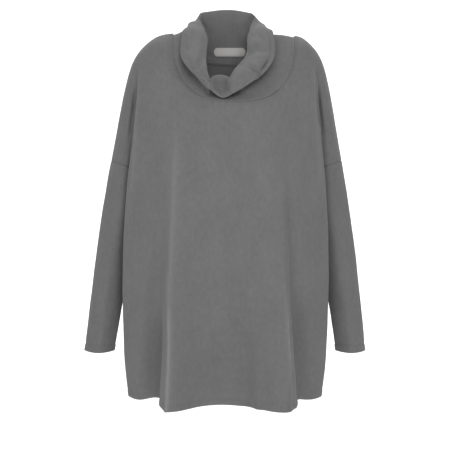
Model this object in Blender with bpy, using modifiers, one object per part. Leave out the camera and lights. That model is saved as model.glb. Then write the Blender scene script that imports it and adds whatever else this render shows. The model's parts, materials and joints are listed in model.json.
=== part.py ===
"""Fleece jumper with dropped shoulders and a folded-over cowl collar, filled out as if worn.

The cut pieces are closed cloth walls: front, back, two sleeves, the collar and a neck label.
The tables are in millimetres and the model is in metres. X is the jumper's width, Y goes back
through it and Z is up. The origin lies between the wearer's shoulders, where the jumper hangs.
"""
import math
from collections import namedtuple

import bmesh
import bpy
from mathutils import Vector
from mathutils.bvhtree import BVHTree

MM = 0.001

# Cloth and sewing
WALL = 2.2
SEAM_GAP = 0.4
NECK_SEAM_GAP = 0.55
SEAM_STRIP = 2.5
UNDERARM_GAP = 5.0
UNDERARM_REACH = 22.0
UNDERARM_CLEAR = 5.0
UNDERARM_SPLIT = 3.0

# Neckline: a rounded square, cut deeper in front than at the back
NECK_SHIFT = 18.0
NECK_HALF_WIDTH = 126.0
NECK_TOP = 0.0
NECK_FRONT = (-118.0, 135.0)
NECK_BACK = (86.0, 62.0)
NECK_SQUARENESS = 2.6
SHOULDER_TILT = -0.02
NECK_ANGLES = dict(centre=0, chest=28, edge=50, dent=58, crease=66, arm=78, seam=90)

# Shares of the way between neighbours that set the chest, the dent behind the fold and the arm
CHEST_SHARE = 0.58
CHEST_FALL = dict(front=0.13, back=0.17)
CHEST_RISE = 0.24
DENT_SHARE = 0.3
ARM_SHARE = 0.62
ARM_RISE = 0.78

# The shoulder seams and the side seams run down the middle of the depth
SEAM_Y = 8.0

# Rings that spread from the neckline over the chest, shoulders and arms. Points are (x, y, z)
# of the left half, x outwards. Edge is the front panel's fold beside the arm, crease is the
# hollow between body and arm, and seam is the shoulder seam's (x, z).
Ring = namedtuple("Ring", "name lean front_y front_z back_y back_z edge crease arm_y seam")
RINGS = [
    Ring("yoke", 10, -128, -176, 100, -104, (138, -78, -72), (147, -56, -46), -30, (151, -5)),
    Ring("shoulder", 6, -136, -216, 108, -155, (175, -68, -102), (181, -46, -72), -28, (185, -36)),
    Ring("upper_arm", 5, -141, -256, 112, -210, (187, -66, -150), (184, -40, -116), -32, (204, -77)),
    Ring("mid_arm", 4, -144, -296, 115, -265, (193, -66, -205), (181, -28, -174), -36, (218, -137)),
    Ring("lower_arm", 3.5, -146, -336, 118, -320, (199, -67, -262), (175, -12, -240), -39, (229, -200)),
    Ring("armhole", 3, -147, -372, 120, -372, (202.5, -68.5, -292), (168, 6.5, -284), -41, (241, -262)),
]
ARMHOLE = len(RINGS)

# Level sections of the body below the armholes, down to the hem
Torso = namedtuple("Torso", "name z lean front_y edge_x edge_y side_x side_y back_edge_y back_y")
TORSO = [
    Torso("under_arm", -380, 2, -147, 209, -67, 161, 8, 84, 122),
    Torso("ribs", -440, 2, -145, 212, -65, 174, 10, 84, 127),
    Torso("waist", -520, 1, -140, 214, -58, 193, 12, 83, 133),
    Torso("hip", -600, 1, -130, 214, -42, 205, 18, 82, 139),
    Torso("skirt", -690, 0, -114, 212, -20, 210, 28, 82, 145),
    Torso("hem", -762, 0, -99, 204, -8, 208, 38, 84, 150),
]

# Sections of the sleeve below the armhole, x outwards
Sleeve = namedtuple("Sleeve", "name x y z half_width half_depth")
SLEEVE = [
    Sleeve("top", 217, 7, -350, 40, 45),
    Sleeve("elbow", 231, 6, -430, 38, 42),
    Sleeve("forearm", 246, 5, -520, 35, 39),
    Sleeve("wrist", 258, 5, -600, 32.5, 36),
    Sleeve("cuff", 267, 5, -666, 31, 34),
]

# Folds that grow from top_z to the hem. Inner and outer are the widths of the fold's slopes
# towards and away from the middle, and a height below zero is a valley.
Fold = namedtuple("Fold", "face top_x hem_x top_z height inner outer growth")
FOLDS = [
    Fold("front", -99, -120, -290, 60, 80, 22, 1.35),
    Fold("front", 117, 141, -310, 74, 118, 10, 1.25),
    Fold("front", -8, -6, -480, -15, 62, 62, 1.5),
    Fold("front", -150, -157, -430, -13, 24, 34, 1.3),
    Fold("front", 152, 160, -430, -14, 18, 36, 1.3),
    Fold("front", 64, 68, -690, 3, 14, 14, 1.0),
    Fold("back", -78, -96, -330, 17, 62, 40, 1.3),
    Fold("back", 24, 18, -420, 11, 55, 48, 1.3),
    Fold("back", 104, 122, -310, 20, 60, 36, 1.3),
    Fold("back", -30, -36, -470, -12, 44, 44, 1.4),
    Fold("back", -150, -158, -480, -9, 30, 30, 1.3),
]

# The collar from the front centre round to the back: around is the share of the way from the
# front centre to the back centre, below zero on the left. Ridge is the fold along its top, hem
# is the turned-down edge, roll is how full the fold is, and stand and fall say how far the
# inner and the turned-down layer bulge outwards.
Collar = namedtuple("Collar", "around ridge hem roll stand fall")
COLLAR = [
    Collar(-0.01, (-9, -79, -82), (-5, -121, -125), 5, -13, -9),
    Collar(-0.055, (-21, -81, -83), (-12, -122, -122), 5, -12, -9),
    Collar(-0.085, (-28, -87, -87), (-18, -123, -118), 5, -10, -7),
    Collar(-0.115, (-30, -106, -97), (-26, -130, -112), 5, -9, 7),
    Collar(-0.16, (-36, -107, -80), (-50, -125, -93), 8, -7, 12),
    Collar(-0.27, (-38, -80, -58), (-74, -109, -68), 12, -5, 11),
    Collar(-0.40, (-37, -38, -30), (-90, -70, -42), 12, 3, 9),
    Collar(-0.54, (-36, 4, -8), (-88, -16, 7), 11, 9, 8),
    Collar(-0.69, (-46, 44, 23), (-80, 48, 4), 7, 3, 11),
    Collar(-0.79, (-50, 68, 37), (-72, 84, -8), 9, 0, 13),
    Collar(-0.88, (-40, 79, 48), (-50, 107, -24), 10, 0, 8),
    Collar(1.00, (4, 86, 54), (4, 114, -34), 10, 0, 8),
    Collar(0.88, (49, 79, 47), (59, 107, -25), 10, 0, 8),
    Collar(0.79, (59, 68, 36), (81, 84, -9), 9, 0, 13),
    Collar(0.69, (55, 44, 22), (89, 48, 3), 7, 3, 11),
    Collar(0.54, (45, 4, -8), (98, -16, 7), 11, 9, 8),
    Collar(0.40, (45, -34, -30), (101, -68, -42), 12, 3, 9),
    Collar(0.27, (38, -64, -48), (80, -110, -76), 12, -5, 11),
    Collar(0.17, (22, -86, -66), (52, -124, -95), 10, -9, 11),
    Collar(0.10, (11, -101, -82), (26, -129, -112), 8, -13, 9),
    Collar(0.065, (7, -102, -92), (8, -130, -121), 6, -14, 5),
    Collar(0.035, (3, -83, -82), (1, -122, -125), 5, -15, -8),
]

# The two layers lie apart along the line from seam to hem, lifted by this much
LAYER_LIFT = 25.0
LIP_BACK = 1.2
LIP_APART = 0.8

# Neck label, sewn inside the back of the collar
LABEL_CENTRE = (10.0, -36.0)
LABEL_SIZE = (66.0, 18.0)
LABEL_WALL = 1.0

# How finely the cloth is divided
CURVE_STEPS = 12
FRONT_COLUMNS = 22
BACK_COLUMNS = 15
WING_COLUMNS = 7
COLLAR_COLUMNS = 58
RING_ROWS = [0.05, 0.45, 1, 1.5, 2, 2.5, 3, 4, 5, 5.6, 5.96]
TORSO_ROWS = [6.35, 7, 7.5, 8, 8.5, 9, 9.5, 10, 10.5, 11, 11.5, 11.96, 12]
SLEEVE_ROWS = [6.3, 6.7, 7.2, 7.8, 8.4, 9, 9.6, 10.2, 10.7, 10.96, 11]
SEAM_STEP = 0.004
SLEEVE_STRIP = 0.035
LINE_CELLS = 400
TIGHT_REACH = 15.0
EDGE_PULL = 1.6
FOLD_PULL = 1.2
DEEP_FOLD = 10.0
NECK_PULLS = [(-24, 4.0), (10, 2.0)]
COLLAR_STEPS = (1, 2, 2, 2, 2, 2, 3)
LABEL_CELLS = (10, 2)


def mix(a, b, share):
    """The point that lies a share of the way from a to b."""
    return a + (b - a) * share


def curve_at(keys, place):
    """A point on the smooth curve through keys, where place counts from key to key."""
    last = len(keys) - 1
    first = min(max(int(math.floor(place)), 0), last - 1)
    t = place - first
    b, c = keys[first], keys[first + 1]
    a = keys[first - 1] if first > 0 else b * 2 - c
    d = keys[first + 2] if first + 2 <= last else c * 2 - b
    return 0.5 * (b * 2 + (c - a) * t + (a * 2 - b * 5 + c * 4 - d) * t**2
                  + (b * 3 - a - c * 3 + d) * t**3)


def smooth_span(a, b, c, d, steps):
    """Points from b up to c, not c itself, on a curve that never overshoots its keys."""
    knots = [0.0]
    for near, far in ((a, b), (b, c), (c, d)):
        knots.append(knots[-1] + max((far - near).length, 0.01) ** 0.5)
    k0, k1, k2, k3 = knots
    points = []
    for step in range(steps):
        k = k1 + (k2 - k1) * step / steps
        ab = mix(a, b, (k - k0) / (k1 - k0))
        bc = mix(b, c, (k - k1) / (k2 - k1))
        cd = mix(c, d, (k - k2) / (k3 - k2))
        points.append(mix(mix(ab, bc, (k - k0) / (k2 - k0)), mix(bc, cd, (k - k1) / (k3 - k1)),
                          (k - k1) / (k2 - k1)))
    return points


def closed_curve(keys):
    """One list of points for each span of the closed smooth curve through keys."""
    count = len(keys)
    spans = []
    for i in range(count):
        a, b, c, d = (keys[(i + k) % count] for k in (-1, 0, 1, 2))
        spans.append(smooth_span(a, b, c, d, CURVE_STEPS) + [c])
    return spans


def join(spans):
    """The spans as one line of points."""
    line = [spans[0][0]]
    for span in spans:
        line += span[1:]
    return line


def resample(line, count, tight_places=(), trim=0.0):
    """count + 1 points along a line, closer together near the tight places, trimmed at its end."""
    arc = [0.0]
    for a, b in zip(line, line[1:]):
        arc.append(arc[-1] + (b - a).length)
    total = arc[-1] - trim
    marks = []
    for place, pull in tight_places:
        nearest = min(range(len(line)), key=lambda i: (line[i].xy - place.xy).length)
        marks.append((arc[nearest], pull))

    def density(s):
        return 1 + sum(pull * math.exp(-((s - at) / TIGHT_REACH) ** 2) for at, pull in marks)

    weights = [0.0]
    for i in range(LINE_CELLS):
        weights.append(weights[-1] + density(total * (i + 0.5) / LINE_CELLS))
    points = []
    cell = 0
    for i in range(count + 1):
        wanted = weights[-1] * i / count
        while cell < LINE_CELLS - 1 and weights[cell + 1] < wanted:
            cell += 1
        share = (wanted - weights[cell]) / (weights[cell + 1] - weights[cell])
        points.append(along(line, arc, total * (cell + share) / LINE_CELLS))
    return points


def along(line, arc, distance):
    """The point at a distance along a line whose arc lengths are known."""
    for i in range(1, len(line)):
        if arc[i] >= distance or i == len(line) - 1:
            return mix(line[i - 1], line[i], (distance - arc[i - 1]) / max(arc[i] - arc[i - 1], 1e-6))


def with_strip(line, count, tight_places=(), trim=0.0):
    """A resampled line that ends in one narrow strip beside the seam."""
    return resample(line, count - 1, tight_places, trim + SEAM_STRIP) + [resample(line, 1, trim=trim)[-1]]


def neckline(angle, face):
    """A point of the neckline's left half, x outwards. Angle 0 is its centre and 90 the side."""
    depth, drop = NECK_FRONT if face == "front" else NECK_BACK
    across = math.sin(math.radians(angle)) ** (2 / NECK_SQUARENESS)
    down = max(math.cos(math.radians(angle)), 0.0)
    return Vector((NECK_HALF_WIDTH * across, SEAM_Y + (depth - SEAM_Y) * down**0.6,
                   NECK_TOP - drop * down ** (2 / NECK_SQUARENESS)))


def between(centre, edge, crease, face):
    """The chest point and the dent behind the fold, which follow from their neighbours."""
    chest = Vector((mix(centre.x, edge.x, CHEST_SHARE), mix(centre.y, edge.y, CHEST_FALL[face]),
                    mix(centre.z, edge.z, CHEST_RISE)))
    dent = Vector((mix(crease.x, edge.x, DENT_SHARE), mix(edge.y, crease.y, DENT_SHARE),
                   mix(edge.z, crease.z, DENT_SHARE)))
    return chest, dent


def key_rows(face):
    """For each named key, its points row by row: neckline, rings, then body or sleeve."""
    keys = {name: [neckline(angle, face)] for name, angle in NECK_ANGLES.items()}
    for ring in RINGS:
        edge, crease = Vector(ring.edge), Vector(ring.crease)
        arm_y = ring.arm_y
        centre = Vector((0, ring.front_y, ring.front_z))
        if face == "back":
            centre = Vector((0, ring.back_y, ring.back_z))
            edge.y, crease.y, arm_y = (2 * SEAM_Y - y for y in (edge.y, crease.y, arm_y))
        chest, dent = between(centre, edge, crease, face)
        seam = Vector((ring.seam[0], SEAM_Y, ring.seam[1]))
        arm = Vector((mix(crease.x, seam.x, ARM_SHARE), arm_y, mix(crease.z, seam.z, ARM_RISE)))
        points = dict(centre=centre, chest=chest, edge=edge, dent=dent, crease=crease, arm=arm, seam=seam)
        for name, point in points.items():
            keys[name].append(point)
    for row in TORSO:
        front = face == "front"
        centre = Vector((0, row.front_y if front else row.back_y, row.z))
        edge = Vector((row.edge_x, row.edge_y if front else row.back_edge_y, row.z))
        crease = Vector((row.side_x, row.side_y, row.z))
        chest, dent = between(centre, edge, crease, face)
        for name, point in dict(centre=centre, chest=chest, edge=edge, dent=dent, crease=crease).items():
            keys[name].append(point)
    for row in SLEEVE:
        depth = -row.half_depth if face == "front" else row.half_depth
        keys["arm"].append(Vector((row.x, row.y + depth, row.z)))
        keys["seam"].append(Vector((row.x + row.half_width, row.y, row.z)))
    return keys


KEYS = {face: key_rows(face) for face in ("front", "back")}
UNDERARM = [Vector((RINGS[-1].crease[0] + UNDERARM_CLEAR, SEAM_Y, RINGS[-1].crease[2]))]
INNER_ARM = UNDERARM + [Vector((row.x - row.half_width, row.y, row.z)) for row in SLEEVE]
LEAN = [NECK_SHIFT] + [row.lean for row in RINGS] + [row.lean for row in TORSO]


def key_point(name, face, side, place):
    """A key on one side of the jumper, where place counts the rows down from the neckline."""
    point = curve_at(KEYS[face][name], place).copy()
    point.x = side * point.x + curve_at(LEAN, min(place, len(LEAN) - 1))
    point.z += SHOULDER_TILT * point.x * max(0.0, 1 - place / 2)
    return point


def fold_height(point, face):
    """How far the folds lift the cloth out of the body's plain section."""
    height = 0.0
    hem_z = TORSO[-1].z
    for fold in FOLDS:
        if fold.face != face or point.z > fold.top_z:
            continue
        grown = (fold.top_z - point.z) / (fold.top_z - hem_z)
        offset = point.x - mix(fold.top_x, fold.hem_x, grown)
        outwards = offset * math.copysign(1, fold.hem_x) > 0
        reach = abs(offset) / (fold.outer if outwards else fold.inner)
        if reach < 1:
            height += fold.height * grown**fold.growth * (1 + math.cos(math.pi * reach)) / 2
    return height


def folded(point, face, share):
    """The point moved out by the folds, which die away before the side fold."""
    out = -1 if face == "front" else 1
    return point + Vector((0, out * share * fold_height(point, face), 0))


TORSO_NAMES = ["centre", "chest", "edge", "dent", "crease"]


def body_spans(place):
    """The whole section at one row as spans of points, keyed by face, side and the span's name."""
    names = TORSO_NAMES + (["arm", "seam"] if place <= ARMHOLE else [])
    walk = []
    for face, side in (("front", -1), ("back", -1), ("back", 1), ("front", 1)):
        order = names[:-1] if (face, side) in (("front", -1), ("back", 1)) else list(reversed(names))[:-1]
        walk += [(name, face, side) for name in order]
    spans = closed_curve([key_point(name, face, side, place) for name, face, side in walk])
    found = {}
    for index, (name, face, side) in enumerate(walk):
        forward = (face, side) in (("front", -1), ("back", 1))
        step = names.index(name) if forward else names.index(name) - 1
        found[face, side, step] = spans[index] if forward else list(reversed(spans[index]))
    return found


def body_line(spans, face, side):
    """The torso's line from the centre to the crease, with its folds."""
    line = []
    for step in range(4):
        span = spans[face, side, step]
        for i, point in enumerate(span if step == 3 else span[:-1]):
            fade = 1.0 if step < 1 else max(0.0, 1 - (i / CURVE_STEPS) ** 3) if step == 1 else 0.0
            line.append(folded(point, face, fade))
    return line


def wing_line(spans, face, side):
    """The line from the crease out to the shoulder seam."""
    return join([spans[face, side, 4], spans[face, side, 5]])


def arm_ring(side, place):
    """The arm's line at one row: its front and back halves, from the inside to the shoulder seam."""
    if place <= ARMHOLE:
        inner_front, inner_back = (key_point("crease", face, side, place) for face in ("front", "back"))
    else:
        inner = curve_at(INNER_ARM, place - ARMHOLE).copy()
        inner.x = side * inner.x + curve_at(LEAN, place)
        split = Vector((0, UNDERARM_SPLIT / 2, 0))
        inner_front, inner_back = inner - split, inner + split
    front = key_point("arm", "front", side, place)
    outer = key_point("seam", "front", side, place)
    back = key_point("arm", "back", side, place)
    spans = closed_curve([inner_front, front, outer, back, inner_back])
    return join(spans[:2]), list(reversed(join(spans[2:4])))


def tight_places(spans, face, side):
    """Where the columns of a torso line crowd together: its side fold and its deep folds."""
    edge = spans[face, side, 2][0]
    places = [(edge, EDGE_PULL)]
    for fold in FOLDS:
        same_side = fold.hem_x * side > 0
        if fold.face == face and same_side and fold.height > DEEP_FOLD and edge.z < fold.top_z:
            grown = (fold.top_z - edge.z) / (fold.top_z - TORSO[-1].z)
            x = mix(fold.top_x, fold.hem_x, grown)
            base = min(body_line(spans, face, side), key=lambda p: abs(p.x - x))
            places.append((base, FOLD_PULL * grown))
    return places


def half_panel(face, side, columns):
    """Rows of points for one half of a panel: torso rows, and the wing rows above the armhole."""
    half_gap = SEAM_GAP / 2
    torso, wing = [], []
    for place in [SEAM_STEP] + RING_ROWS + [ARMHOLE] + TORSO_ROWS:
        spans = body_spans(place)
        line = body_line(spans, face, side)
        trim = half_gap if place > ARMHOLE else 0.0
        torso.append(with_strip(line, columns, tight_places(spans, face, side), trim))
        if place < ARMHOLE - 1:
            wing.append(with_strip(wing_line(spans, face, side), WING_COLUMNS, trim=half_gap))
        elif place <= ARMHOLE:
            half = arm_ring(side, min(place, ARMHOLE - SEAM_STEP))[0 if face == "front" else 1]
            wing.append([torso[-1][-1]] + with_strip(half, WING_COLUMNS, trim=half_gap)[1:])
    return torso, wing


def sheet_from_rows(mesh_name, blocks):
    """An open sheet of quads through blocks of rows; points that coincide are welded."""
    sheet = bmesh.new()
    for rows in blocks:
        grid = [[sheet.verts.new(point * MM) for point in row] for row in rows]
        for upper, lower in zip(grid, grid[1:]):
            for i in range(len(upper) - 1):
                sheet.faces.new((upper[i], lower[i], lower[i + 1], upper[i + 1]))
    bmesh.ops.remove_doubles(sheet, verts=sheet.verts, dist=0.00002)
    bmesh.ops.recalc_face_normals(sheet, faces=sheet.faces)
    mesh = bpy.data.meshes.new(mesh_name)
    sheet.to_mesh(mesh)
    sheet.free()
    return mesh


def cloth_material(name, colour, roughness):
    """A plain finish for one kind of cloth."""
    material = bpy.data.materials.new(name)
    material.use_nodes = True
    shader = material.node_tree.nodes["Principled BSDF"]
    shader.inputs["Base Color"].default_value = (*colour, 1)
    shader.inputs["Roughness"].default_value = roughness
    shader.inputs["Metallic"].default_value = 0
    return material


def cloth_piece(name, blocks, material, collection, wall=WALL):
    """One cut piece: its sheet of rows given the cloth's thickness."""
    piece = bpy.data.objects.new(name, sheet_from_rows(name, blocks))
    collection.objects.link(piece)
    piece.data.materials.append(material)
    piece.data.shade_smooth()
    solidify = piece.modifiers.new("cloth wall", "SOLIDIFY")
    solidify.thickness = wall * MM
    solidify.offset = 0
    solidify.use_quality_normals = True
    return piece


def panel(name, face, columns, material, collection):
    """The front or back panel, with the wing of each side over the shoulder and arm."""
    blocks = []
    for side in (-1, 1):
        torso, wing = half_panel(face, side, columns)
        blocks += [torso, wing]
    return cloth_piece(name, blocks, material, collection)


def sleeve(name, side, material, collection):
    """A sleeve: a closed tube of rings from the armhole seam to the cuff."""
    rows = []
    for place in [ARMHOLE + SEAM_STEP, ARMHOLE + SLEEVE_STRIP] + SLEEVE_ROWS:
        front, back = (with_strip(half, WING_COLUMNS) for half in arm_ring(side, place))
        loop = front + list(reversed(back))[1:] + [front[0]]
        under = loop[0]
        drop = UNDERARM_GAP if place < SLEEVE_ROWS[0] else 0.0
        rows.append([point - Vector((0, 0, drop * math.exp(-((point - under).length / UNDERARM_REACH) ** 2)))
                     for point in loop])
    return cloth_piece(name, [rows], material, collection)


def neck_rings():
    """The neckline as a closed line from the front centre, and the same line a little way down."""
    lines = []
    for place in (0.0, 0.03):
        spans = body_spans(place)
        line = []
        for face, side in (("front", 1), ("back", 1), ("back", -1), ("front", -1)):
            half = join([spans[face, side, step] for step in range(6)])
            forward = (face, side) in (("front", 1), ("back", -1))
            line += (half if forward else list(reversed(half)))[:-1]
        lines.append(line)
    return lines


def collar_rings():
    """The closed smooth rings of the ridge, hem and fullness, with their place around."""
    rows = sorted(COLLAR, key=lambda row: row.around)
    arounds = [row.around for row in rows]
    ridge = closed_curve([Vector(row.ridge) for row in rows])
    hem = closed_curve([Vector(row.hem) for row in rows])
    fullness = closed_curve([Vector((row.roll, row.stand, row.fall)) for row in rows])
    samples = []
    for i, start in enumerate(arounds):
        end = arounds[i + 1] if i + 1 < len(rows) else arounds[0] + 2
        for step in range(CURVE_STEPS):
            around = start + (end - start) * step / CURVE_STEPS
            samples.append((around, ridge[i][step], hem[i][step], fullness[i][step]))
    return samples


def at_around(samples, around):
    """The ridge, hem and fullness at one place around the collar."""
    first = samples[0][0]
    wrapped = (around - first) % 2 + first
    for i, sample in enumerate(samples):
        following = samples[(i + 1) % len(samples)]
        end = following[0] if i + 1 < len(samples) else first + 2
        if wrapped <= end:
            share = (wrapped - sample[0]) / (end - sample[0])
            return tuple(mix(a, b, share) for a, b in zip(sample[1:], following[1:]))


def collar_profiles():
    """For each column around the neck, the collar's line from its seam over the ridge to its hem."""
    upper, lower = neck_rings()
    closed = upper + [upper[0]]
    front_folds = [(Vector((x, NECK_FRONT[0], 0)), pull) for x, pull in NECK_PULLS]
    base = resample(closed, COLLAR_COLUMNS, front_folds)[:-1]
    samples = collar_rings()
    front_half = sum((b - a).length for a, b in zip(closed, closed[1:])) / 2
    profiles = []
    walked = 0.0
    for index, point in enumerate(base):
        if index:
            walked += (point - base[index - 1]).length
        around = walked / front_half
        nearest = min(range(len(upper)), key=lambda i: (upper[i] - point).length)
        up = (upper[nearest] - lower[nearest]).normalized()
        ridge, hem, (roll, stand_bulge, fall_bulge) = at_around(samples, around)
        inwards = (ridge - (point + hem) / 2).normalized()
        apart = hem - point + Vector((0, 0, LAYER_LIFT))
        apart = (apart - inwards * apart.dot(inwards)).normalized()
        start = point + up * NECK_SEAM_GAP
        strip = point + up * SEAM_STRIP
        lower_lip = ridge - inwards * roll * LIP_BACK - apart * roll * LIP_APART
        upper_lip = ridge - inwards * roll * LIP_BACK + apart * roll * LIP_APART
        stand = mix(strip, lower_lip, 0.5) + apart * stand_bulge
        fall = mix(upper_lip, hem, 0.5) + apart * fall_bulge
        keys = [start, strip, stand, lower_lip, ridge, upper_lip, fall, hem]
        line = []
        for i, count in enumerate(COLLAR_STEPS):
            a = keys[i - 1] if i else keys[0] * 2 - keys[1]
            d = keys[i + 2] if i + 2 < len(keys) else keys[-1] * 2 - keys[-2]
            line += smooth_span(a, keys[i], keys[i + 1], d, count)
        profiles.append(line + [hem])
    return profiles


def collar(material, collection):
    """The collar: one folded-over tube, its stand inside and its turned-down part outside."""
    profiles = collar_profiles()
    return cloth_piece("collar", [profiles + [profiles[0]]], material, collection)


def neck_label(on, material, collection):
    """A narrow label laid on the inside of the collar's back."""
    bpy.context.view_layer.update()
    tree = BVHTree.FromObject(on, bpy.context.evaluated_depsgraph_get())
    across, down = LABEL_CELLS
    rows = []
    for j in range(down + 1):
        row = []
        z = LABEL_CENTRE[1] + LABEL_SIZE[1] * (0.5 - j / down)
        for i in range(across + 1):
            x = LABEL_CENTRE[0] + LABEL_SIZE[0] * (i / across - 0.5)
            hit, normal, _, _ = tree.ray_cast(Vector((x, 0, z)) * MM, Vector((0, 1, 0)))
            row.append((hit / MM) + normal * (LABEL_WALL / 2 + SEAM_GAP))
        rows.append(row)
    return cloth_piece("neck_label", [rows], material, collection, LABEL_WALL)


def main():
    for old in list(bpy.data.objects):
        bpy.data.objects.remove(old)
    collection = bpy.data.collections.new("fleece_jumper")
    bpy.context.scene.collection.children.link(collection)
    fleece = (0.165, 0.165, 0.167)
    panel("front_panel", "front", FRONT_COLUMNS, cloth_material("front fleece", fleece, 0.95), collection)
    panel("back_panel", "back", BACK_COLUMNS, cloth_material("back fleece", fleece, 0.95), collection)
    for name, side in (("sleeve_left", -1), ("sleeve_right", 1)):
        sleeve(name, side, cloth_material(name + " fleece", fleece, 0.95), collection)
    roll_neck = collar(cloth_material("collar fleece", fleece, 0.95), collection)
    neck_label(roll_neck, cloth_material("label tape", (0.46, 0.43, 0.39), 0.7), collection)


main()
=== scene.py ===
# %% [markdown]
# A grey fleece jumper with a folded-over cowl collar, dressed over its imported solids.
#
# The solids give the cut, the largest folds, and the open neck, hem, cuffs and armholes. What is
# added here makes them cloth: small creases, sewn seams, turned hems, stitches, a blank label and
# a brushed nap. The cloth could be modelled anew, but then every edge would have to be fitted to
# the solids again. So each cut piece is taken from its own solid as one thin sheet, divided
# finely, creased, and thickened again at the end. All sizes in the tables are millimetres.

# %% Imports and the fixed frame
import heapq
import json
import math
from collections import namedtuple

import bmesh
import bpy
from mathutils import Matrix, Vector, noise
from mathutils.bvhtree import BVHTree
from mathutils.kdtree import KDTree

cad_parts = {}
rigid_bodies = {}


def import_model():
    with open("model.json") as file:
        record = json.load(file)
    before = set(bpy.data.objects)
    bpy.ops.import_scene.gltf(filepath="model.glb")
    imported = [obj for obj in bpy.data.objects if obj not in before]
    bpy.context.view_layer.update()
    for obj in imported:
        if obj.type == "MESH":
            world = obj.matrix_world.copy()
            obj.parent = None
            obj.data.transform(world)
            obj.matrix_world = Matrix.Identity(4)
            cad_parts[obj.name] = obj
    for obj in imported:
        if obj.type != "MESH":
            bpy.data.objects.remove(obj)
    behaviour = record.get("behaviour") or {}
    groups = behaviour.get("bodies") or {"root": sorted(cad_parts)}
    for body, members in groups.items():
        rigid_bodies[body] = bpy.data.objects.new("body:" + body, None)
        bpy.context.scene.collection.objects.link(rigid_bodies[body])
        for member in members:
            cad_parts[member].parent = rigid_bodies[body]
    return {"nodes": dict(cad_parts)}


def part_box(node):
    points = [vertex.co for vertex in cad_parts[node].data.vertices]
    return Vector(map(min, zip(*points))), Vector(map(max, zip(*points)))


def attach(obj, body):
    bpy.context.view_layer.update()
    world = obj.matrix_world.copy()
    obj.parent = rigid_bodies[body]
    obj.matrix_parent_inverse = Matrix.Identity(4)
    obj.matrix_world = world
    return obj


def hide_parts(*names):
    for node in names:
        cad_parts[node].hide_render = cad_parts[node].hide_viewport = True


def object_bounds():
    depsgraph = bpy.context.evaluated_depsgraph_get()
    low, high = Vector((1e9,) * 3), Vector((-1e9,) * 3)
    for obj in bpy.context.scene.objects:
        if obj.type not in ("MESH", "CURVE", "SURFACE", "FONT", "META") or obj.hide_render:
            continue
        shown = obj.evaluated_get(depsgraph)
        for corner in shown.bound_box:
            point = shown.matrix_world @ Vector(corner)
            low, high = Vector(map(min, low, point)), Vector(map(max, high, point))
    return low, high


# The default cube, lamp and camera go before anything is made.
for old in list(bpy.data.objects):
    bpy.data.objects.remove(old)
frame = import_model()
nodes = frame["nodes"]
cad_low, cad_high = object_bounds()

MM = 0.001
CLOTH_NODES = ["front_panel", "back_panel", "sleeve_left", "sleeve_right", "collar"]
print("solids in the frame:", ", ".join(nodes))

# %% [markdown]
# The real cloth is a thick, soft knit with one brushed side. Its solid is a wall of 2.2 mm, and a
# wall is hard to crease, because its two sides would drift apart. A single open sheet is easy to
# shape, and Solidify can give it its thickness afterwards, so the outer side of each wall is taken.
#
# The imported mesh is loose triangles, so a copy is welded first. The edges that run through the
# wall at an open rim are just as long as the cloth is thick, and the faces at their two ends look
# opposite ways along them. That finds the rim's faces, and what is left are the wall's two sides.
# The outer one is the one that looks away from the middle of the node.

# %% Taking the outer sheet from a solid
WALL = 2.2
WELD = 0.001
RIM_TOLERANCE = 0.03
RIM_ALIGNED = (0.7, 0.5, 0.3)
JOIN_FLAT = math.radians(60)
JOIN_SQUARE = math.radians(70)


def rim_faces(mesh, aligned):
    """The faces that close a cloth wall's open edges."""
    rim = set()
    for edge in mesh.edges:
        if abs(edge.calc_length() / MM - WALL) > RIM_TOLERANCE:
            continue
        low, high = edge.verts
        along = (high.co - low.co).normalized()
        ahead = max(face.normal.dot(along) for face in high.link_faces)
        behind = min(face.normal.dot(along) for face in low.link_faces)
        if ahead > aligned and behind < -aligned:
            rim.update(edge.link_faces)
    return rim


def connected(mesh, rim):
    """The groups of faces that join without crossing the rim, largest first."""
    seen = set(rim)
    groups = []
    for face in mesh.faces:
        if face in seen:
            continue
        group = [face]
        seen.add(face)
        for current in group:
            for edge in current.edges:
                for other in edge.link_faces:
                    if other not in seen:
                        seen.add(other)
                        group.append(other)
        groups.append(group)
    return sorted(groups, key=len, reverse=True)


def outer_sheet(node):
    """The outer side of a cloth solid as an open mesh of quads."""
    mesh = bmesh.new()
    mesh.from_mesh(node.data)
    bmesh.ops.remove_doubles(mesh, verts=mesh.verts, dist=WELD * MM)
    mesh.normal_update()
    middle = sum((v.co for v in mesh.verts), Vector()) / len(mesh.verts)
    # Where a rim is curved its edges lean, so the test is eased until just two equal sides are left.
    for aligned in RIM_ALIGNED:
        sides = connected(mesh, rim_faces(mesh, aligned))
        if len(sides) == 2 and len(sides[0]) == len(sides[1]):
            break

    def facing_out(group):
        return sum(f.calc_area() * f.normal.dot(f.calc_center_median() - middle) for f in group)

    keep = set(max(sides, key=facing_out))
    bmesh.ops.delete(mesh, geom=[f for f in mesh.faces if f not in keep], context="FACES")
    bmesh.ops.join_triangles(mesh, faces=mesh.faces, angle_face_threshold=JOIN_FLAT,
                             angle_shape_threshold=JOIN_SQUARE)
    return mesh


sheets = {name: outer_sheet(nodes[name]) for name in CLOTH_NODES}
for name, mesh in sheets.items():
    print(name, "has", len(mesh.faces), "faces on its outer side")

# %% [markdown]
# The faces of the solids are about two centimetres long, which is too coarse for a crease that is
# a few millimetres wide. Plain subdividing would keep every facet, so Subdivision Surface is used,
# because it rounds the sheet while it divides it. The open edges keep their corners, and the seams
# still meet. The sleeves have the longest faces and get one level more.

# %% Dividing the sheets
LEVELS = {"front_panel": 2, "back_panel": 2, "sleeve_left": 3, "sleeve_right": 3, "collar": 2}


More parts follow.
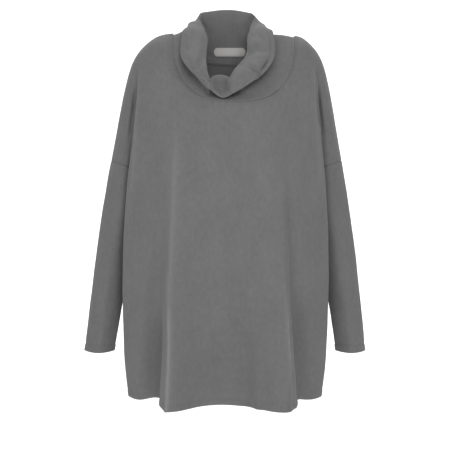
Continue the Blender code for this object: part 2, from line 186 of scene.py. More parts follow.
def divided(name, mesh, levels):
    """A piece with the sheet's mesh after smooth subdivision."""
    data = bpy.data.meshes.new(name)
    mesh.to_mesh(data)
    mesh.free()
    piece = bpy.data.objects.new(name, data)
    bpy.context.scene.collection.objects.link(piece)
    smooth = piece.modifiers.new("smooth", "SUBSURF")
    smooth.levels = smooth.render_levels = levels
    smooth.boundary_smooth = "PRESERVE_CORNERS"
    fine = bpy.data.meshes.new_from_object(piece.evaluated_get(bpy.context.evaluated_depsgraph_get()))
    piece.modifiers.clear()
    piece.data = fine
    bpy.data.meshes.remove(data)
    piece.name = fine.name = name
    return piece


pieces = {}
for name, sheet in sheets.items():
    pieces[name] = divided(name + "_cloth", sheet, LEVELS[name])
    print(name, "is divided into", len(pieces[name].data.polygons), "faces")

# %% [markdown]
# Worn cloth hangs in folds from the shoulders, and creases where it is pushed together. A cloth
# simulation would make creases, but not these ones. Displacing by a noise would put them
# everywhere. So they are placed one by one, a row for each, from what the photograph shows, and
# the back has some of the same kind. No two are alike.
#
# A crease runs from x0, z0 to x1, z1 across the jumper's width and height, and bows sideways
# between them. It lifts the cloth along its own normal, or sinks it where the lift is negative. A
# low value of sharp makes a crisp ridge, a high one a flat-topped roll. Face is the side that the
# cloth has to look towards, -1 for the front, 1 for the back and 0 for any. Near and far keep a
# crease to one layer in depth.

# %% Crease tables
Crease = namedtuple("Crease", "piece face near far x0 z0 x1 z1 bow width sharp lift")
ALL = (-400, 400)
OUTSIDE = (-400, 20)
INSIDE_BACK = (20, 400)
CREASES = []


def creases(piece, face, layer, rows):
    """The rows of one piece that look one way and lie in one layer."""
    return [Crease(piece, face, *layer, *row) for row in rows]


# %% [markdown]
# The front's largest folds hang from the chest on either side, each a crisp ridge with a hollow
# beside it, down to the hem. The solids have their broad form, and the first rows sharpen it. Short
# folds also start below the shoulders, where the weight of the sleeves pulls. The rest are shallow.

# %% Creases of the front
CREASES += creases("front_panel", -1, ALL, [
    (-97, -190, -115, -560, 1, 8, 1.2, 3.7),
    (-112, -520, -119, -770, 3, 4.2, 1.1, 6.5),
    (-130, -400, -158, -770, 0, 13, 2.0, -9.0),
    (-144, -560, -150, -770, 0, 12, 2.0, -13.0),
    (-172, -430, -184, -770, 3, 20, 2.0, 5.0),
    (120, -500, 140, -770, 0, 3.2, 1.1, 4.4),
    (129, -280, 146, -770, 3, 8, 2.2, -9.0),
    (146, -540, 153, -770, 2, 11, 2.2, -12.0),
    (172, -400, 186, -770, 4, 19, 2.0, 4.5),
    (64, -660, 68, -770, 2, 5, 1.3, 2.6),
    (78, -690, 82, -770, 2, 9, 2.0, -1.6),
    (46, -600, 47, -770, -2, 12, 2.0, -2.8),
    (-62, -400, -72, -720, 8, 20, 2.0, -1.6),
    (-30, -520, -34, -740, -6, 14, 2.0, 1.2),
    (28, -330, 18, -560, -9, 22, 2.0, 1.1),
    (74, -380, 84, -640, 7, 18, 2.0, -1.3),
    (-185, -62, -196, -210, 4, 5, 1.5, -7.0),
    (-178, -84, -192, -330, 3, 4.5, 1.2, 3.2),
    (190, -60, 200, -200, -4, 5, 1.5, -7.0),
    (183, -80, 196, -310, -3, 4.5, 1.2, 3.0),
    (-152, -190, -178, -360, 8, 14, 1.6, -1.6),
    (160, -180, 184, -350, -7, 13, 1.6, -1.5),
    (-186, -420, -176, -640, -5, 12, 1.8, -1.6),
    (-100, -140, -62, -188, 10, 11, 1.8, -1.2),
    (122, -130, 84, -182, -9, 10, 1.8, -1.2),
    (6, -150, -14, -300, 8, 16, 2.0, 0.9),
])
print(len(CREASES), "creases on the front")

# %% [markdown]
# The photograph doesn't show the back or the far side of the sleeves. The cloth hangs there in the
# same way, so these rows are of the same kind, but milder, and none is a copy of another.

# %% Creases of the back and the sleeves
CREASES += creases("back_panel", 1, ALL, [
    (-88, -280, -106, -770, -7, 8, 1.4, 3.0),
    (-116, -380, -132, -770, 5, 14, 2.0, -3.6),
    (92, -300, 116, -770, 6, 7, 1.3, 2.8),
    (122, -360, 140, -770, -4, 13, 2.0, -3.8),
    (22, -380, 14, -770, 5, 13, 1.8, 1.8),
    (-40, -420, -44, -770, -5, 14, 2.0, -2.0),
    (60, -460, 66, -720, 4, 14, 2.0, -1.7),
    (-152, -200, -178, -330, -7, 13, 1.6, -1.4),
    (158, -190, 188, -330, 8, 14, 1.6, -1.5),
    (-170, -430, -164, -650, 5, 14, 1.8, -1.5),
    (-70, -120, -20, -170, -9, 12, 1.8, -1.2),
])
CREASES += creases("sleeve_left", -1, ALL, [
    (-222, -345, -240, -420, 3, 9, 1.6, -1.3),
    (-232, -440, -262, -520, -4, 10, 1.6, 1.1),
    (-236, -500, -256, -610, 3, 10, 1.8, -1.2),
])
CREASES += creases("sleeve_left", 1, ALL, [
    (-228, -360, -244, -450, -3, 10, 1.6, -1.5),
    (-240, -480, -262, -600, 4, 11, 1.8, -1.3),
])
CREASES += creases("sleeve_right", -1, ALL, [
    (226, -350, 246, -430, -3, 9, 1.6, -1.2),
    (236, -450, 258, -530, 3, 11, 1.8, -1.3),
    (250, -540, 272, -630, -3, 9, 1.6, 1.0),
])
CREASES += creases("sleeve_right", 1, ALL, [
    (230, -370, 246, -470, 4, 10, 1.6, -1.5),
    (246, -500, 266, -610, -4, 11, 1.8, -1.2),
])
print(len(CREASES), "creases with the back and the sleeves")

# %% [markdown]
# The collar is a tube of cloth folded over on itself. It is pushed together into soft slanting
# folds in front, with sharp pinches where it turns at the sides. Its turned-down outside and the
# back of its inside lie close together, so each row is kept to one of them by its depth.

# %% Creases of the collar
CREASES += creases("collar", 0, ALL, [
    (-49, 26, -37, 2, 3, 3.5, 1.5, -4.5),
    (59, 36, 47, 6, -3, 3.5, 1.5, -4.5),
])
CREASES += creases("collar", -1, OUTSIDE, [
    (-58, 14, -62, -60, 6, 9, 1.8, 5.0),
    (-76, -36, -46, -88, -5, 8, 1.8, -4.2),
    (-46, -52, -32, -104, 2, 5, 1.6, 4.4),
    (-84, 2, -74, -34, -3, 6, 1.6, -3.4),
    (84, -34, 30, -66, -12, 7, 1.8, -4.6),
    (72, -12, 54, -36, -4, 11, 2.0, 4.5),
    (24, -66, 10, -112, 3, 5, 1.6, 4.2),
    (28, -104, 68, -78, 3, 5, 1.6, 3.6),
    (48, -68, 82, -90, 3, 3.6, 1.3, -6.5),
    (56, -60, 90, -82, -3, 3.6, 1.3, 5.5),
    (64, -94, 86, -54, 2, 3.0, 1.3, -5.0),
    (-16, -92, -4, -120, 2, 7, 1.8, -3.4),
])
CREASES += creases("collar", 1, INSIDE_BACK, [
    (-30, 40, -38, -10, 4, 8, 1.8, -1.4),
    (26, 44, 40, -6, -5, 8, 1.8, 1.6),
])
CREASES += creases("collar", -1, INSIDE_BACK, [
    (-30, 36, -34, -6, 3, 9, 1.8, -2.2),
    (34, 34, 40, -10, -3, 8, 1.8, 1.8),
    (-42, -42, 32, -49, -7, 4, 1.5, -8.0),
])
print(len(CREASES), "creases with the collar")

# %% [markdown]
# One crease as a formula: the point's share of the way along it, its distance across it, and a
# bell-shaped profile of that distance. Both ends fade out, except where a fold runs off the hem.
# A crisp raised ridge also gets a painted highlight: its crest is painted lighter, standing in for
# the light it would catch. How strong that is at each point is kept for the material.

# %% One crease
FACING = (0.1, 0.6)
FADE_IN = (-0.2, 0.3)
FADE_OUT = (1.2, 0.8)
CRISP = 1.25
# The lift at which a crease's painted highlight is full, and how fast it grows towards that.
HIGHLIGHT_FULL_LIFT = 6.5
HIGHLIGHT_POWER = 1.4
BODY_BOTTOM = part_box("front_panel")[0].z / MM
CUFF_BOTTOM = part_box("sleeve_left")[0].z / MM


def smooth_step(low, high, value):
    """From 0 at low to 1 at high, with soft ends."""
    share = min(max((value - low) / (high - low), 0.0), 1.0)
    return share * share * (3 - 2 * share)


def crease_lift(crease, point, normal):
    """How far one crease lifts a point, in millimetres."""
    facing = smooth_step(*FACING, crease.face * normal.y) if crease.face else 1.0
    if facing == 0.0 or not crease.near < point.y < crease.far:
        return 0.0
    run = Vector((crease.x1 - crease.x0, crease.z1 - crease.z0))
    offset = Vector((point.x - crease.x0, point.z - crease.z0))
    share = offset.dot(run) / run.length_squared
    if not FADE_IN[0] < share < FADE_OUT[0]:
        return 0.0
    across = (run.x * offset.y - run.y * offset.x) / run.length
    across -= crease.bow * 4 * share * (1 - share)
    fade = smooth_step(*FADE_IN, share)
    if crease.z1 >= BODY_BOTTOM:
        fade *= smooth_step(*FADE_OUT, share)
    return crease.lift * facing * fade * math.exp(-abs(across / crease.width) ** crease.sharp)


# Painted highlight: a lighter colour along crisp raised creases, standing in for light on their crests.
def crease_highlight_strength(crease, lift):
    """How strong the painted highlight is on a crisp raised crease, from 0 to 1."""
    return min(lift / HIGHLIGHT_FULL_LIFT, 1) ** HIGHLIGHT_POWER if crease.sharp < CRISP and lift > 0 else 0.0


print("the body's hem is at", round(BODY_BOTTOM, 1), "mm, the cuffs at", round(CUFF_BOTTOM, 1), "mm")

# %% [markdown]
# The collar stands up in soft corners at the back of the neck. A crease can't make those, because
# it only moves cloth along its normal. A pull shifts a whole patch, as a hand would in sculpting,
# by dx, dy, dz at its centre and less towards its reach, and it can be set again to the millimetre.

# %% Pull table
Pull = namedtuple("Pull", "piece x y z reach dx dy dz")
PULLS = [
    Pull("collar", -52, 68, 38, 15, -2, 0, 8),
    Pull("collar", -62, 42, 22, 16, -3, 0, 5),
    Pull("collar", -84, 14, 2, 16, 3, 0, 4),
    Pull("collar", -94, 24, -8, 14, 0, 0, 7),
    Pull("collar", 62, 66, 34, 17, 2, 0, 7),
    Pull("collar", 82, 14, 2, 12, -2, 0, -3),
]


def pulled(name, point):
    """How far the listed pulls shift a point."""
    shift = Vector()
    for pull in PULLS:
        if pull.piece == name:
            away = (point - Vector((pull.x, pull.y, pull.z))).length
            shift += Vector((pull.dx, pull.dy, pull.dz)) * math.exp(-((away / pull.reach) ** 2))
    return shift


print(len(PULLS), "pulls, the longest", max(max(pull[5:]) for pull in PULLS), "mm")

# %% [markdown]
# A seam is where two cut pieces are sewn together. It could be marked by hand on each piece, but
# here the mesh says where it is: the open edges of two sewn pieces lie within a few millimetres of
# each other, and those of the hems and cuffs are near nothing. A k-d tree finds the nearest point
# quickly.

# %% Finding the seams
SEAM_REACH = 4.5


def open_edge_points(piece):
    """The points on a sheet's open edges."""
    mesh = bmesh.new()
    mesh.from_mesh(piece.data)
    points = [v.co.copy() for v in mesh.verts if v.is_boundary]
    mesh.free()
    return points


def point_tree(points):
    """A tree that finds the nearest of some points."""
    tree = KDTree(max(len(points), 1))
    for index, point in enumerate(points):
        tree.insert(point, index)
    tree.balance()
    return tree


edges = {name: open_edge_points(piece) for name, piece in pieces.items()}
edge_trees = {name: point_tree(points) for name, points in edges.items()}


def seam_points(name, others):
    """The open-edge points of a piece that are sewn to one of the others."""
    trees = [edge_trees[other] for other in others if other != name]
    return [point for point in edges[name]
            if any(tree.find(point)[2] < SEAM_REACH * MM for tree in trees)]


seam_trees = {name: point_tree(seam_points(name, CLOTH_NODES)) for name in CLOTH_NODES}
neck_trees = {name: point_tree(seam_points(name, ["collar"])) for name in ("front_panel", "back_panel")}
collar_seam = seam_points("collar", CLOTH_NODES)
collar_rim = [point for point in edges["collar"] if point not in collar_seam]
collar_rim_tree = point_tree(collar_rim)
print("the collar has", len(collar_seam), "points in its seam and", len(collar_rim), "on its free edge")

# %% [markdown]
# Every point needs its distance from the seams. On the body and the sleeves a straight line is
# near enough. The collar is folded over its own seam, so a straight line would jump from one layer
# to the next, and the distance is measured along the cloth instead, from point to point by the
# shortest way.

# %% Distances from the seams
FAR = 1000.0
ON_SEAM = 0.05


def within_cloth(piece, starts):
    """Each point's distance from some starting points, measured along the cloth."""
    reached = [FAR] * len(piece.data.vertices)
    beside = [[] for _ in reached]
    for edge in piece.data.edges:
        a, b = edge.vertices
        length = (piece.data.vertices[a].co - piece.data.vertices[b].co).length / MM
        beside[a].append((b, length))
        beside[b].append((a, length))
    queue = []
    for vertex in piece.data.vertices:
        if starts.find(vertex.co)[2] < ON_SEAM * MM:
            reached[vertex.index] = 0.0
            queue.append((0.0, vertex.index))
    while queue:
        distance, index = heapq.heappop(queue)
        if distance > reached[index]:
            continue
        for other, length in beside[index]:
            if distance + length < reached[other]:
                reached[other] = distance + length
                heapq.heappush(queue, (distance + length, other))
    return reached


def straight(piece, tree):
    """Each point's distance from the nearest point of a tree."""
    return [tree.find(vertex.co)[2] / MM for vertex in piece.data.vertices]


seam_distance = {}
neck_distance = {}
for name, piece in pieces.items():
    if name == "collar":
        seam_distance[name] = neck_distance[name] = within_cloth(piece, seam_trees[name])
        continue
    seam_distance[name] = straight(piece, seam_trees[name])
    neck_distance[name] = [FAR] * len(seam_distance[name])
    if name in neck_trees:
        neck_distance[name] = straight(piece, neck_trees[name])
    print(name, "reaches", round(max(seam_distance[name])), "mm from its seams")

# %% [markdown]
# A sewn seam shows as a narrow groove, because its stitches draw the cloth in, with small uneven
# puckers beside it. The groove could be a dark line in the material, but then it would catch no
# light from the side. It is pressed into the sheet instead. The neck seam is finer than the others
# and runs out towards the shoulders.

# %% Seam grooves and puckers
SEAM_DEPTH = 0.7
NECK_SEAM_DEPTH = 0.3
NECK_SEAM_FADE = (-10, -60)
SEAM_WIDTH = 1.6
GROOVE_FLOOR = 0.4
PUCKER = 0.45
PUCKER_START = (1, 4)
PUCKER_REACH = 9.0
PUCKER_SIZE = 7.0


def sewn_lift(point, from_seam, from_neck):
    """How far a seam's groove and puckers lift a point."""
    depth = SEAM_DEPTH
    if from_neck < from_seam + 0.5:
        depth = NECK_SEAM_DEPTH * smooth_step(*NECK_SEAM_FADE, point.z)
    lift = -depth * math.exp(-((from_seam / SEAM_WIDTH) ** 2))
    if from_seam > GROOVE_FLOOR:
        beside = math.exp(-from_seam / PUCKER_REACH) * smooth_step(*PUCKER_START, from_seam)
        lift += PUCKER * beside * noise.noise(point / PUCKER_SIZE)
    return lift


print("seam grooves are", SEAM_DEPTH, "mm deep, that of the neck", NECK_SEAM_DEPTH, "mm at most")

# %% [markdown]
# The hems of body and cuffs are the cloth's own edge, turned in and stitched, so the lowest 11 mm
# of the body and 15 mm of a cuff stand out a little, and the stitches draw in a shallow line above
# them. A second layer of cloth inside would not show. One raised band and one narrow dip say the
# same. At the side seams the corners of the hem are rounded, upwards and inwards.

# %% Turned hems and rounded corners
BODY_HEM = 11.0
CUFF_HEM = 15.0
HEM_STEP = 0.8
HEM_STEP_HALF = 2
HEM_DRAWN_IN = 1.1
HEM_LINE = 2.0
HEM_TOP = 2.5
SEAM_FREE = (0, 8)
CORNER_RISE = 12.0
CORNER_IN = 9.0
CORNER_REACH = 46.0
CORNER_HEIGHT = 60.0
CORNER_IN_HEIGHT = 40.0


def hem_of(name):
    """The height of a piece's hem edge and how deep it is turned."""
    return (BODY_BOTTOM, BODY_HEM) if name.endswith("panel") else (CUFF_BOTTOM, CUFF_HEM)


def hem_lift(height, hem):
    """How far the turned-in hem stands out at a height above its edge."""
    if height > hem * HEM_TOP:
        return 0.0
    raised = HEM_STEP * smooth_step(hem + HEM_STEP_HALF, hem - HEM_STEP_HALF, height)
    drawn_in = HEM_DRAWN_IN * math.exp(-(((height - hem) / HEM_LINE) ** 2))
    return raised - drawn_in


def corner_shift(point, height, side_distance):
    """How the hem's corners at the side seams are rounded, upwards and inwards."""
    near_side = max(0.0, 1 - side_distance / CORNER_REACH) ** 2
    rise = CORNER_RISE * near_side * smooth_step(CORNER_HEIGHT, 0, height)
    inwards = CORNER_IN * near_side * smooth_step(CORNER_IN_HEIGHT, 0, height) ** 2
    return Vector((-math.copysign(inwards, point.x), 0, rise))


print("a hem stands out", HEM_STEP, "mm and is drawn in", HEM_DRAWN_IN, "mm at its stitches")

# %% [markdown]
# On one side the collar's upper layer ends over the one beneath, which shows as a thin dark line.
# It could be a second sheet, but the two would touch all the way. A narrow dip beside the free
# edge gives the same shadow.

# %% The line between the collar's layers
LAYER_DEPTH = -3.2
LAYER_INSET = 9.5
LAYER_WIDTH = 2.2
LAYER_X = (62, 74)
LAYER_LOW = (-88, -66)
LAYER_HIGH = (4, -12)


def layer_line(point, rim_distance):
    """How far the line under the collar's upper layer sinks a point."""
    here = smooth_step(*LAYER_X, point.x)
    here *= smooth_step(*LAYER_LOW, point.z) * smooth_step(*LAYER_HIGH, point.z)
    return LAYER_DEPTH * here * math.exp(-abs((rim_distance - LAYER_INSET) / LAYER_WIDTH) ** 1.5)


print("the line between the layers runs", LAYER_INSET, "mm inside the collar's edge")

# %% [markdown]
# Now all of it is put together. Each point gets one lift along its normal, the sum of its creases,
# two sizes of gentle unevenness, its seam and its hem, and one shift from the pulls and corners.
# Displace modifiers could do each in turn, but their order would matter, and here every part reads
# the same unmoved sheet. Near a seam the cloth is held, so creases and pulls are calm there. The
# collar's sheet is the lower side of its roll, so its creases are made on the reverse, which is
# the side that shows.

# %% Shaping the sheets
CALM = (3.0, 26.0)
SWELLS = [(0.7, 62.0), (0.25, 23.0)]
PAINTED_HIGHLIGHT = "painted_crest_highlight"

above_hem = {}
for name, piece in pieces.items():
    data = piece.data
    own = [crease for crease in CREASES if crease.piece == name]
    seen = -1 if name == "collar" else 1
    if name != "collar":
        edge_height, hem = hem_of(name)
        above_hem[name] = [vertex.co.z / MM - edge_height for vertex in data.vertices]
    crest_highlights = []
    moved = []
    for vertex in data.vertices:
        point = vertex.co / MM
        from_seam = seam_distance[name][vertex.index]
        calm = smooth_step(*CALM, from_seam)
        lifts = [crease_lift(crease, point, vertex.normal * seen) for crease in own]
        # Painted highlight: each point keeps how strongly its crispest crease paints it lighter.
        crest_highlights.append(max(crease_highlight_strength(crease, one) for crease, one in zip(own, lifts)))
        lift = seen * calm * sum(lifts)
        lift += calm * sum(rise * noise.noise(point / size) for rise, size in SWELLS)
        lift += sewn_lift(point, from_seam, neck_distance[name][vertex.index])
        shift = pulled(name, point) * calm
        if name == "collar":
            lift += seen * layer_line(point, collar_rim_tree.find(vertex.co)[2] / MM)
        else:
            height = above_hem[name][vertex.index]
            lift += hem_lift(height, hem) * smooth_step(*SEAM_FREE, from_seam)
            if name.endswith("panel"):
                shift += corner_shift(point, height, from_seam)
        moved.append(vertex.co + (vertex.normal * lift + shift) * MM)
    furthest = max((place - vertex.co).length for vertex, place in zip(data.vertices, moved))
    for vertex, place in zip(data.vertices, moved):
        vertex.co = place
    data.update()
    data.shade_smooth()
    # The strength of the painted highlight is stored on the sheet for the material.
    data.attributes.new(PAINTED_HIGHLIGHT, "FLOAT", "POINT").data.foreach_set("value", crest_highlights)
    print(name, "has", len(own), "creases, and moves by", round(furthest / MM, 1), "mm at most")

# %% [markdown]
# The stitches follow lines on the cloth: the level line at a hem's depth, and the line at a fixed
# distance from the neck seam. Curves drawn by hand would float over the creases or sink into them.
# A contour is read off the sheet itself, where the value crosses the level on each edge, and is
# walked from face to face, so it lies on the cloth.

# %% Contours of a sheet
SHORTEST_CHAIN = 9


def crossing_points(mesh, values, level):
    """Where the level crosses the mesh's edges, as (point, normal) by edge."""
    crossings = {}
    for edge in mesh.edges:
        a, b = edge.verts
        va, vb = values[a.index] - level, values[b.index] - level
        if (va < 0) != (vb < 0):
            share = va / (va - vb)
            crossings[edge.index] = (a.co.lerp(b.co, share), a.normal.lerp(b.normal, share).normalized())
    return crossings


def contours(piece, values, level):
    """Chains of (point, normal) along the line where the values equal the level."""
    mesh = bmesh.new()
    mesh.from_mesh(piece.data)
    crossings = crossing_points(mesh, values, level)
    links = {index: [] for index in crossings}
    for face in mesh.faces:
        cut = [edge.index for edge in face.edges if edge.index in crossings]
        for one, other in zip(cut[::2], cut[1::2]):
            links[one].append(other)
            links[other].append(one)
    mesh.free()
    chains = []
    unused = set(crossings)
    starts = sorted(index for index in crossings if len(links[index]) == 1) + sorted(crossings)
    for start in starts:
        if start not in unused:
            continue
        chain = [start]
        unused.discard(start)
        while following := [index for index in links[chain[-1]] if index in unused]:
            chain.append(following[0])
            unused.discard(following[0])
        chains.append([crossings[index] for index in chain])
    return [chain for chain in chains if len(chain) >= SHORTEST_CHAIN]


hem_lines = {name: contours(pieces[name], heights, hem_of(name)[1]) for name, heights in above_hem.items()}
print("hem lines:", {name: len(lines) for name, lines in hem_lines.items()})

# %% [markdown]
# A stitch is a short length of thread, half sunk in the nap: 3.2 mm long, with a gap of 1.1 mm
# where the thread dips under. A bevelled curve would be one smooth cord without gaps. Each stitch
# is a small sphere instead, drawn out along its line by a matrix. It has two dozen faces, which is
# light enough to repeat hundreds of times.

# %% Building stitches
STITCH = 3.2
STITCH_GAP = 1.1
THREAD = 0.36
SUNK = 0.5


def stitch_positions(chain):
    """Where each stitch starts and ends along a chain of points."""
    arc = [0.0]
    for (a, _), (b, _) in zip(chain, chain[1:]):
        arc.append(arc[-1] + (b - a).length)
    count = int(arc[-1] / ((STITCH + STITCH_GAP) * MM))

    def at(distance):
        index = 1
        while index < len(arc) - 1 and arc[index] < distance:
            index += 1
        share = (distance - arc[index - 1]) / max(arc[index] - arc[index - 1], 1e-9)
        (a, na), (b, nb) = chain[index - 1], chain[index]
        return a.lerp(b, share), na.lerp(nb, share).normalized()

    pitch = arc[-1] / max(count, 1)
    for number in range(count):
        start = number * pitch
        yield at(start), at(start + STITCH * MM)


def stitches(name, chains):
    """One piece of all the stitches along some chains."""
    mesh = bmesh.new()
    places = [place for chain in chains for place in stitch_positions(chain)]
    for (start, start_normal), (end, end_normal) in places:
        run = end - start
        centre = (start + end + (start_normal + end_normal) * THREAD * SUNK * MM) / 2
        size = Matrix.Diagonal((THREAD * MM, THREAD * MM, run.length / 2, 1.0))
        place = Matrix.Translation(centre) @ run.to_track_quat("Z", "Y").to_matrix().to_4x4() @ size
        bmesh.ops.create_uvsphere(mesh, u_segments=6, v_segments=4, radius=1.0, matrix=place)
    data = bpy.data.meshes.new(name)
    mesh.to_mesh(data)
    mesh.free()
    data.shade_smooth()
    piece = bpy.data.objects.new(name, data)
    bpy.context.scene.collection.objects.link(piece)
    print(name, "has", len(places), "stitches")
    return piece


# %% [markdown]
# The body, the cuffs and both sides of the neck seam get their rows. The row beside the neck seam,
# 5 mm from it, holds the seam allowance flat underneath.

# %% The rows of stitches
NECK_TOPSTITCH = 5.0

sewing = {}
for row, name in (("body_hem_front_stitches", "front_panel"), ("body_hem_back_stitches", "back_panel"),
                  ("cuff_left_stitches", "sleeve_left"), ("cuff_right_stitches", "sleeve_right")):
    sewing[row] = stitches(row, hem_lines[name])
for row, name in (("neck_front_topstitch", "front_panel"), ("neck_back_topstitch", "back_panel")):
    lines = contours(pieces[name], straight(pieces[name], neck_trees[name]), NECK_TOPSTITCH)
    sewing[row] = stitches(row, lines)

# %% [markdown]
# The sheets get their thickness back inwards, with Solidify, so that the outer side stays where it
# was shaped, and a small Bevel makes the cut edges of hems and cuffs soft. Left alone, two sewn
# pieces would show a lit gap between them. Real cloth turns inwards there as a seam allowance, so
# each sewn edge is extruded a little outwards and then inwards in the same way.

# %% Seam allowances and thickness
ALLOWANCE = 3.6
ALLOWANCE_OUT = 0.45
NECK_ALLOWANCE_OUT = 0.8
EDGE_ROUND = 0.45
EDGE_ANGLE = math.radians(62)


def add_allowance(name, piece):
    """Turn the sewn edges of a sheet inwards."""
    mesh = bmesh.new()
    mesh.from_mesh(piece.data)
    mesh.normal_update()
    sewn = {v for v in mesh.verts if v.is_boundary and seam_distance[name][v.index] < ON_SEAM}
    rim = [e for e in mesh.edges if e.is_boundary and all(v in sewn for v in e.verts)]
    outwards = {}
    normals = {v: v.normal.copy() for v in sewn}
    for edge in rim:
        middle = (edge.verts[0].co + edge.verts[1].co) / 2
        away = (middle - edge.link_faces[0].calc_center_median()).normalized()
        for v in edge.verts:
            outwards[v] = outwards.get(v, Vector()) + away
    sources = {tuple(v.co): v for v in outwards}
    made = bmesh.ops.extrude_edge_only(mesh, edges=rim)
    for v in made["geom"]:
        if isinstance(v, bmesh.types.BMVert):
            source = sources[tuple(v.co)]
            out = NECK_ALLOWANCE_OUT if neck_distance[name][source.index] < ON_SEAM else ALLOWANCE_OUT
            v.co += (outwards[source].normalized() * out - normals[source] * ALLOWANCE) * MM
    mesh.to_mesh(piece.data)
    mesh.free()
    piece.data.shade_smooth()
    return len(rim)


def thickened(piece, wall, edge_round, edge_angle):
    """Add a wall inwards from the sheet, and round its sharp edges."""
    solid = piece.modifiers.new("wall", "SOLIDIFY")
    solid.thickness = wall * MM
    solid.offset = -1
    rounded = piece.modifiers.new("rounded edges", "BEVEL")
    rounded.width = edge_round * MM
    rounded.segments = 2
    rounded.limit_method = "ANGLE"
    rounded.angle_limit = edge_angle


for name, piece in pieces.items():
    print(name, "turns in", add_allowance(name, piece), "sewn edges")
    thickened(piece, WALL, EDGE_ROUND, EDGE_ANGLE)

# %% [markdown]
# The neck label is a narrow woven tape with rounded ends, sewn to the inside of the collar's back,
# and left blank here. A flat tape would cut through the curved cloth. So a grid is laid on it: each
# of its points looks back from the middle of the neck, and a ray finds the collar behind it. The
# grid's sides are eased towards its ends, which gives it its half-round outline.

# %% Neck label
LABEL_LENGTH = 67.0
LABEL_HEIGHT = 18.0
LABEL_WALL = 1.0
LABEL_GAP = 0.25
LABEL_ROUND = 0.25
LABEL_ANGLE = math.radians(50)
LABEL_CENTRE = (10.0, -36.0)
LABEL_END = 0.8
LABEL_TIP = 0.004

bpy.context.view_layer.update()
collar_tree = BVHTree.FromObject(pieces["collar"], bpy.context.evaluated_depsgraph_get())


def label_point(along, up, inset=0.0):
    """A point of the label on the collar, from -1 to 1 along it and up it, with half-round ends."""
    half_length = LABEL_LENGTH / 2 - inset
    half_height = LABEL_HEIGHT / 2 - inset
    straight_part = half_length - half_height * LABEL_END
    across = math.sin(along * math.pi / 2) * half_length
    past = max(abs(across) - straight_part, 0.0) / (half_length - straight_part)
    height = half_height * math.sqrt(max(1 - past * past, LABEL_TIP))
    behind = Vector((LABEL_CENTRE[0] + across, 0, LABEL_CENTRE[1] + height * up)) * MM
    hit, normal, _, _ = collar_tree.ray_cast(behind, Vector((0, 1, 0)))
    return hit + normal * (LABEL_WALL + LABEL_GAP) * MM


def label_piece():
    """The label as a grid that is laid on the collar and given its thickness."""
    mesh = bmesh.new()
    bmesh.ops.create_grid(mesh, x_segments=36, y_segments=8, size=1.0)
    for vertex in mesh.verts:
        vertex.co = label_point(vertex.co.x, vertex.co.y)
    mesh.normal_update()
    data = bpy.data.meshes.new("neck_label_tape")
    mesh.to_mesh(data)
    mesh.free()
    data.shade_smooth()
    piece = bpy.data.objects.new("neck_label_tape", data)
    bpy.context.scene.collection.objects.link(piece)
    thickened(piece, LABEL_WALL, LABEL_ROUND, LABEL_ANGLE)
    return piece


label_tape = label_piece()
print("the label is", LABEL_LENGTH, "x", LABEL_HEIGHT, "mm,", len(label_tape.data.polygons), "faces")

# %% [markdown]
# The label is held by one row of stitches all round, a little inside its rim. The same points give
# the row: the rim of a slightly smaller label, walked once round.

# %% Stitches round the label
LABEL_STITCH_IN = 1.8
LABEL_CHAIN_STEP = 0.4
LENGTHWISE = [step / 18 - 1 for step in range(37)]
UPWARDS = [step / 4 - 1 for step in range(1, 8)]


def label_outline():
    """The stitch line near the label's rim, as a chain of points and normals."""
    corners = [(along, -1) for along in LENGTHWISE] + [(1, up) for up in UPWARDS]
    corners += [(-along, 1) for along in LENGTHWISE] + [(-1, -up) for up in UPWARDS]
    chain = []
    for along, up in corners:
        point = label_point(along, up, inset=LABEL_STITCH_IN)
        if not chain or (point - chain[-1][0]).length > LABEL_CHAIN_STEP * MM:
            chain.append((point, Vector((0, -1, 0))))
    return chain


sewing["neck_label_stitches"] = stitches("neck_label_stitches", [label_outline()])

# %% [markdown]
# Materials are node trees, and a tree is easier to read when each node is one line. One function
# adds a node with its settings and links. Colours are written as sRGB hex, as they are read off a
# screen, and turned to linear light, which is what a shader reckons in.

# %% Colours and nodes


def linear(hex_colour):
    """An sRGB hex colour in linear light."""
    channels = [int(hex_colour[i:i + 2], 16) / 255 for i in (1, 3, 5)]
    return [c / 12.92 if c <= 0.04045 else ((c + 0.055) / 1.055) ** 2.4 for c in channels] + [1.0]


def add(tree, kind, inputs=(), **settings):
    """A shader node with its settings. An input is a value, or another node's output to link."""
    made = tree.nodes.new(kind)
    for key, value in settings.items():
        setattr(made, key, value)
    for key, value in dict(inputs).items():
        if isinstance(value, bpy.types.NodeSocket):
            tree.links.new(value, made.inputs[key])
        else:
            made.inputs[key].default_value = value
    return made


def empty_material(name):
    """A material with an empty node tree."""
    material = bpy.data.materials.new(name)
    material.use_nodes = True
    material.node_tree.nodes.clear()
    return material


def per_metre(size_mm):
    """The texture scale for a pattern whose features are this many millimetres across."""
    return 1000.0 / size_mm


print("mid grey in linear light:", round(linear("#808080")[0], 3))

# %% [markdown]
# The cloth looks like a cotton-rich fleece, knitted and then brushed on its outer side. Its loose
# fibres scatter the light every way, so it is matt with no highlight, its edges catch a faint
# sheen, and its grey is softly mottled where the nap lies one way or another. An even grey would
# look like plastic, and a picture of cloth would need a seamless tile and a UV map. Three sizes of
# noise on Object coordinates give the mottle from all sides, without a seam. Cloth is no metal and
# keeps the usual IOR. Roughness 0.95 and a low specular level are what fibres in all directions do
# to a highlight, and the sheen is weak, because the nap is short.
#
# The clouds are as wide as a hand's stroke over the nap, the tufts as the bits of nap that lie
# together. The real fibres are far thinner than 0.1 mm. A pixel of the photograph covers 2 mm of
# cloth, so they are drawn as 1.3 mm, as coarse as they need to be to show. The noise is drawn out
# downwards, the way the nap is brushed.

# %% Brushed fleece
CLOUDS = 48.0
TUFTS = 7.0
FIBRES = 1.3
BRUSHED = (1.0, 1.0, 0.55)
TUFTS_OVER_CLOUDS = 0.62
FIBRES_OVER_TUFTS = 0.42
SPREAD = (0.36, 0.64)
TUFT_DEPTH = 0.35


